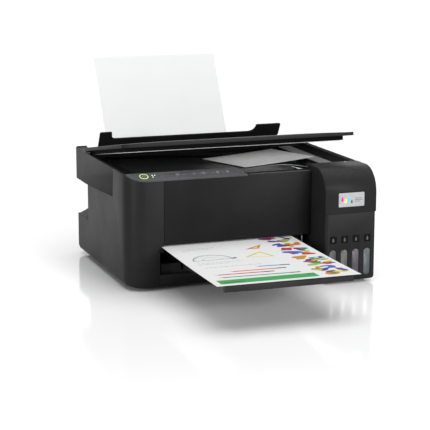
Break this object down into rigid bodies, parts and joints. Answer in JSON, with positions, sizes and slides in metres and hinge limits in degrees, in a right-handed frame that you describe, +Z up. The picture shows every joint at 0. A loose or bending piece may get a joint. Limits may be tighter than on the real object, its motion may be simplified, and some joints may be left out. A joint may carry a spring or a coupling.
{
  "type": "ink tank inkjet printer",
  "caption": "Flatbed ink-tank inkjet printer with lifting scanner unit and lid, hinged tank cover, rear feeder with guard and support, sliding tray and print mechanism.",
  "frame": {"origin": "under the middle of the whole assembly's box, on the floor, with both slides pulled out", "axes": "+X to the printer's right seen from its front, +Y to the rear, +Z up; the control strip and paper exit face -Y"},
  "size_m": [0.375, 0.5976, 0.3022],
  "materials": {
    "casing": "fine textured moulded plastic, charcoal black",
    "inner_black": "matt black moulded plastic",
    "strip": "satin dark grey moulded plastic",
    "keys": "satin grey key caps",
    "scan_glass": "clear float glass over a dark scanner bed",
    "mat": "white foam sheet with a smooth skin",
    "inner_grey": "dark structural plastic",
    "guide_grey": "dark grey slide plastic",
    "steel": "zinc plated sheet steel",
    "belt": "toothed rubber belt",
    "rubber": "soft black rubber",
    "gear_plastic": "natural white acetal",
    "circuit_board": "green solder resist",
    "port_black": "glossy black socket",
    "ink_black": "translucent bottle with a grey tint",
    "ink_yellow": "translucent bottle with a yellow tint",
    "ink_magenta": "translucent bottle with a magenta tint",
    "ink_cyan": "translucent bottle with a cyan tint"
  },
  "bodies": {
    "root": {"left_cover": "casing", "right_cover": "casing", "rear_cover": "casing", "base_pan": "casing", "tank_housing": "casing", "tank_frame": "inner_black", "rear_feeder": "inner_grey", "platen": "inner_grey", "capping_station": "inner_grey", "power_supply": "inner_grey", "tray_guide": "guide_grey", "chassis_frame": "steel", "carriage_rail": "steel", "carriage_motor": "steel", "feed_motor": "steel", "usb_port": "steel", "timing_belt": "belt", "main_board": "circuit_board", "power_inlet": "port_black", "foot_front_left": "rubber", "foot_front_right": "rubber", "foot_rear_left": "rubber", "foot_rear_right": "rubber", "ink_tank_black": "ink_black", "ink_tank_yellow": "ink_yellow", "ink_tank_magenta": "ink_magenta", "ink_tank_cyan": "ink_cyan"},
    "scanner": {"scanner_tub": "casing", "scanner_frame": "inner_black", "scanner_glass": "scan_glass", "scan_rail": "steel", "front_fascia": "casing", "control_panel": "strip"},
    "scan_bar": {"scan_bar": "inner_black"},
    "lid": {"lid_cover": "casing", "lid_mat": "mat"},
    "tank_cover": {"tank_cover": "casing"},
    "output_tray": {"output_tray": "guide_grey"},
    "tray_extension": {"tray_extension": "guide_grey"},
    "paper_support": {"paper_support": "guide_grey"},
    "feeder_guard": {"feeder_guard": "inner_black"},
    "edge_guide_left": {"edge_guide_left": "guide_grey"},
    "edge_guide_right": {"edge_guide_right": "guide_grey"},
    "carriage": {"carriage": "inner_grey"},
    "motor_pulley": {"motor_pulley": "gear_plastic"},
    "feed_roller": {"feed_roller": "rubber", "feed_gear": "gear_plastic"},
    "feed_pinion": {"feed_pinion": "gear_plastic"},
    "exit_roller": {"exit_roller": "rubber"},
    "pickup_roller": {"pickup_roller": "rubber"},
    "tank_cap_black": {"tank_cap_black": "ink_black"},
    "tank_cap_yellow": {"tank_cap_yellow": "ink_yellow"},
    "tank_cap_magenta": {"tank_cap_magenta": "ink_magenta"},
    "tank_cap_cyan": {"tank_cap_cyan": "ink_cyan"},
    "power_button": {"power_button": "keys"},
    "wifi_button": {"wifi_button": "keys"},
    "info_button": {"info_button": "keys"},
    "mono_copy_button": {"mono_copy_button": "keys"},
    "colour_copy_button": {"colour_copy_button": "keys"},
    "stop_button": {"stop_button": "keys"}
  },
  "joints": [
    {"name": "scanner_lift", "type": "hinge", "parent": "root", "child": "scanner", "pos_m": [0, 0.20495, 0.168], "axis": [1, 0, 0], "range_deg": [-28, 0]},
    {"name": "lid_hinge", "type": "hinge", "parent": "scanner", "child": "lid", "pos_m": [0, 0.19795, 0.177], "axis": [-1, 0, 0], "range_deg": [-9.8, 60]},
    {"name": "scan_bar_slide", "type": "slide", "parent": "scanner", "child": "scan_bar", "axis": [1, 0, 0], "range_m": [0, 0.27]},
    {"name": "power_press", "type": "slide", "parent": "scanner", "child": "power_button", "axis": [0, 0.3796, -0.9252], "range_m": [0, 0.0006], "stiffness_N_per_m": 400, "springref_m": -0.0008},
    {"name": "wifi_press", "type": "slide", "parent": "scanner", "child": "wifi_button", "axis": [0, 0.3796, -0.9252], "range_m": [0, 0.0006], "stiffness_N_per_m": 400, "springref_m": -0.0008},
    {"name": "info_press", "type": "slide", "parent": "scanner", "child": "info_button", "axis": [0, 0.3796, -0.9252], "range_m": [0, 0.0006], "stiffness_N_per_m": 400, "springref_m": -0.0008},
    {"name": "mono_copy_press", "type": "slide", "parent": "scanner", "child": "mono_copy_button", "axis": [0, 0.3796, -0.9252], "range_m": [0, 0.0006], "stiffness_N_per_m": 400, "springref_m": -0.0008},
    {"name": "colour_copy_press", "type": "slide", "parent": "scanner", "child": "colour_copy_button", "axis": [0, 0.3796, -0.9252], "range_m": [0, 0.0006], "stiffness_N_per_m": 400, "springref_m": -0.0008},
    {"name": "stop_press", "type": "slide", "parent": "scanner", "child": "stop_button", "axis": [0, 0.3796, -0.9252], "range_m": [0, 0.0006], "stiffness_N_per_m": 400, "springref_m": -0.0008},
    {"name": "tank_cover_hinge", "type": "hinge", "parent": "root", "child": "tank_cover", "pos_m": [0, -0.03605, 0.168], "axis": [-1, 0, 0], "range_deg": [0, 75]},
    {"name": "tank_cap_black_hinge", "type": "hinge", "parent": "root", "child": "tank_cap_black", "pos_m": [0.1172, -0.05655, 0.1077], "axis": [-1, 0, 0], "range_deg": [0, 100]},
    {"name": "tank_cap_yellow_hinge", "type": "hinge", "parent": "root", "child": "tank_cap_yellow", "pos_m": [0.136, -0.05655, 0.1077], "axis": [-1, 0, 0], "range_deg": [0, 100]},
    {"name": "tank_cap_magenta_hinge", "type": "hinge", "parent": "root", "child": "tank_cap_magenta", "pos_m": [0.1548, -0.05655, 0.1077], "axis": [-1, 0, 0], "range_deg": [0, 100]},
    {"name": "tank_cap_cyan_hinge", "type": "hinge", "parent": "root", "child": "tank_cap_cyan", "pos_m": [0.1736, -0.05655, 0.1077], "axis": [-1, 0, 0], "range_deg": [0, 100]},
    {"name": "tray_slide", "type": "slide", "parent": "root", "child": "output_tray", "axis": [0, 0.9954, -0.0958], "range_m": [0, 0.12]},
    {"name": "extension_slide", "type": "slide", "parent": "output_tray", "child": "tray_extension", "axis": [0, 0.9954, -0.0958], "range_m": [0, 0.118]},
    {"name": "support_slide", "type": "slide", "parent": "root", "child": "paper_support", "axis": [0, -0.454, -0.891], "range_m": [0, 0.125]},
    {"name": "guard_hinge", "type": "hinge", "parent": "root", "child": "feeder_guard", "pos_m": [0, 0.21395, 0.1736], "axis": [-1, 0, 0], "range_deg": [0, 68]},
    {"name": "guide_left_slide", "type": "slide", "parent": "root", "child": "edge_guide_left", "axis": [1, 0, 0], "range_m": [0, 0.0525]},
    {"name": "guide_right_slide", "type": "slide", "parent": "root", "child": "edge_guide_right", "axis": [-1, 0, 0], "range_m": [0, 0.0525]},
    {"name": "carriage_slide", "type": "slide", "parent": "root", "child": "carriage", "axis": [-1, 0, 0], "range_m": [0, 0.262]},
    {"name": "pulley_spin", "type": "hinge", "parent": "root", "child": "motor_pulley", "pos_m": [0.1615, 0.13195, 0.092], "axis": [0, 1, 0], "continuous": true},
    {"name": "feed_roller_spin", "type": "hinge", "parent": "root", "child": "feed_roller", "pos_m": [0, 0.13195, 0.0606], "axis": [1, 0, 0], "continuous": true},
    {"name": "feed_pinion_spin", "type": "hinge", "parent": "root", "child": "feed_pinion", "pos_m": [-0.165, 0.10795, 0.0606], "axis": [1, 0, 0], "continuous": true},
    {"name": "exit_roller_spin", "type": "hinge", "parent": "root", "child": "exit_roller", "pos_m": [0, -0.01505, 0.0616], "axis": [1, 0, 0], "continuous": true},
    {"name": "pickup_roller_spin", "type": "hinge", "parent": "root", "child": "pickup_roller", "pos_m": [0, 0.16457, 0.08894], "axis": [1, 0, 0], "continuous": true}
  ],
  "couplings": [
    {"joint": "guide_right_slide", "follows": "guide_left_slide", "ratio": 1},
    {"joint": "pulley_spin", "follows": "carriage_slide", "rad_per_m": 142.86},
    {"joint": "feed_pinion_spin", "follows": "feed_roller_spin", "ratio": -3},
    {"joint": "exit_roller_spin", "follows": "feed_roller_spin", "ratio": 1.2},
    {"joint": "pickup_roller_spin", "follows": "feed_roller_spin", "ratio": -0.375}
  ]
}
